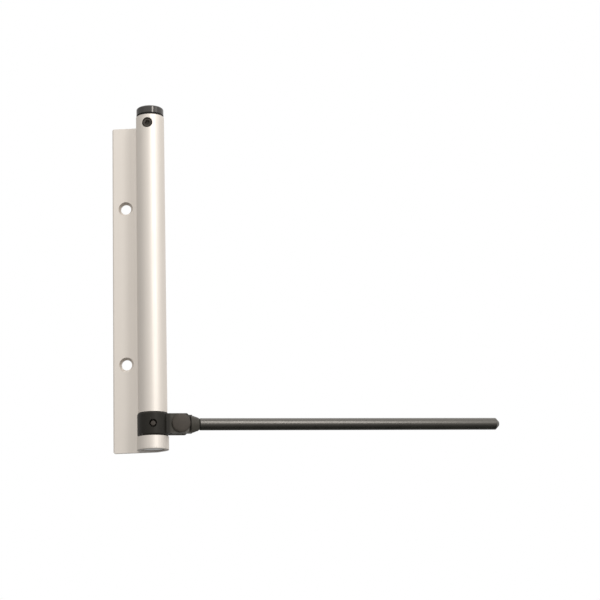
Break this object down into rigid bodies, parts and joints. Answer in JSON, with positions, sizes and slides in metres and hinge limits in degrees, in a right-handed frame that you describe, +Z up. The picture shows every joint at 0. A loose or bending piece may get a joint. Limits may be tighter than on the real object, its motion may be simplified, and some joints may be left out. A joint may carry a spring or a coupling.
{
  "type": "door closer",
  "caption": "Surface-fixed spring door closer: aluminium tube with a mounting flange, tension cap and a round swinging arm on a forked collar.",
  "frame": {"origin": "on the flat back face of the flange, midway between the two screw holes", "axes": "+X from the flange towards the arm's side, +Y out of the back face into the door frame, +Z up along the tube's axis towards the tension cap"},
  "size_m": [0.2569, 0.0718, 0.2335],
  "materials": {
    "aluminium": "satin anodised, warm silver, faint lines along the extrusion",
    "cap_plastic": "gloss black moulded plastic",
    "dark_washer": "matt black",
    "screw_black": "black oxide, slightly worn",
    "spring_steel": "dark drawn wire, oiled",
    "bright_steel": "turned steel",
    "nylon": "natural nylon",
    "bronze": "sintered bronze",
    "hub_black": "satin black coated steel",
    "rod_black": "semi-gloss black coated round bar"
  },
  "bodies": {
    "housing": {"housing": "aluminium", "cap_washer": "dark_washer", "torsion_spring": "spring_steel", "spring_sleeve": "nylon", "upper_bush": "bronze", "lower_bush": "bronze", "upper_thrust_washer": "nylon", "lower_thrust_washer": "nylon", "bottom_plug": "cap_plastic"},
    "tensioner": {"tension_cap": "cap_plastic", "spring_mandrel": "bright_steel"},
    "lock": {"locking_screw": "screw_black"},
    "arm_carrier": {"arm_hub": "hub_black", "hub_pin": "screw_black", "spindle": "bright_steel", "spring_collar": "bright_steel", "collar_pin": "bright_steel", "retaining_ring": "spring_steel", "pivot_screw": "screw_black", "front_friction_washer": "nylon", "rear_friction_washer": "nylon", "nut_washer": "screw_black", "pivot_nut": "screw_black"},
    "arm": {"arm_eye": "hub_black", "arm_rod": "rod_black"}
  },
  "joints": [
    {"name": "arm_swing", "type": "hinge", "parent": "housing", "child": "arm_carrier", "pos_m": [0.0192, -0.016, -0.0967], "axis": [0, 0, -1], "range_deg": [0, 185], "stiffness_Nm_per_rad": 0.3, "springref_deg": -85.94, "deforming": ["torsion_spring"]},
    {"name": "arm_tilt", "type": "hinge", "parent": "arm_carrier", "child": "arm", "pos_m": [0.03635, -0.01163, -0.0967], "axis": [0.247, -0.969, 0], "range_deg": [-12, 12]},
    {"name": "tension_turn", "type": "hinge", "parent": "housing", "child": "tensioner", "pos_m": [0.0192, -0.016, 0.117], "axis": [0, 0, 1], "range_deg": [0, 360], "deforming": ["torsion_spring"]},
    {"name": "locking_screw_travel", "type": "slide", "parent": "housing", "child": "lock", "axis": [-0.0698, -0.9976, 0], "range_m": [0, 0.004]}
  ]
}
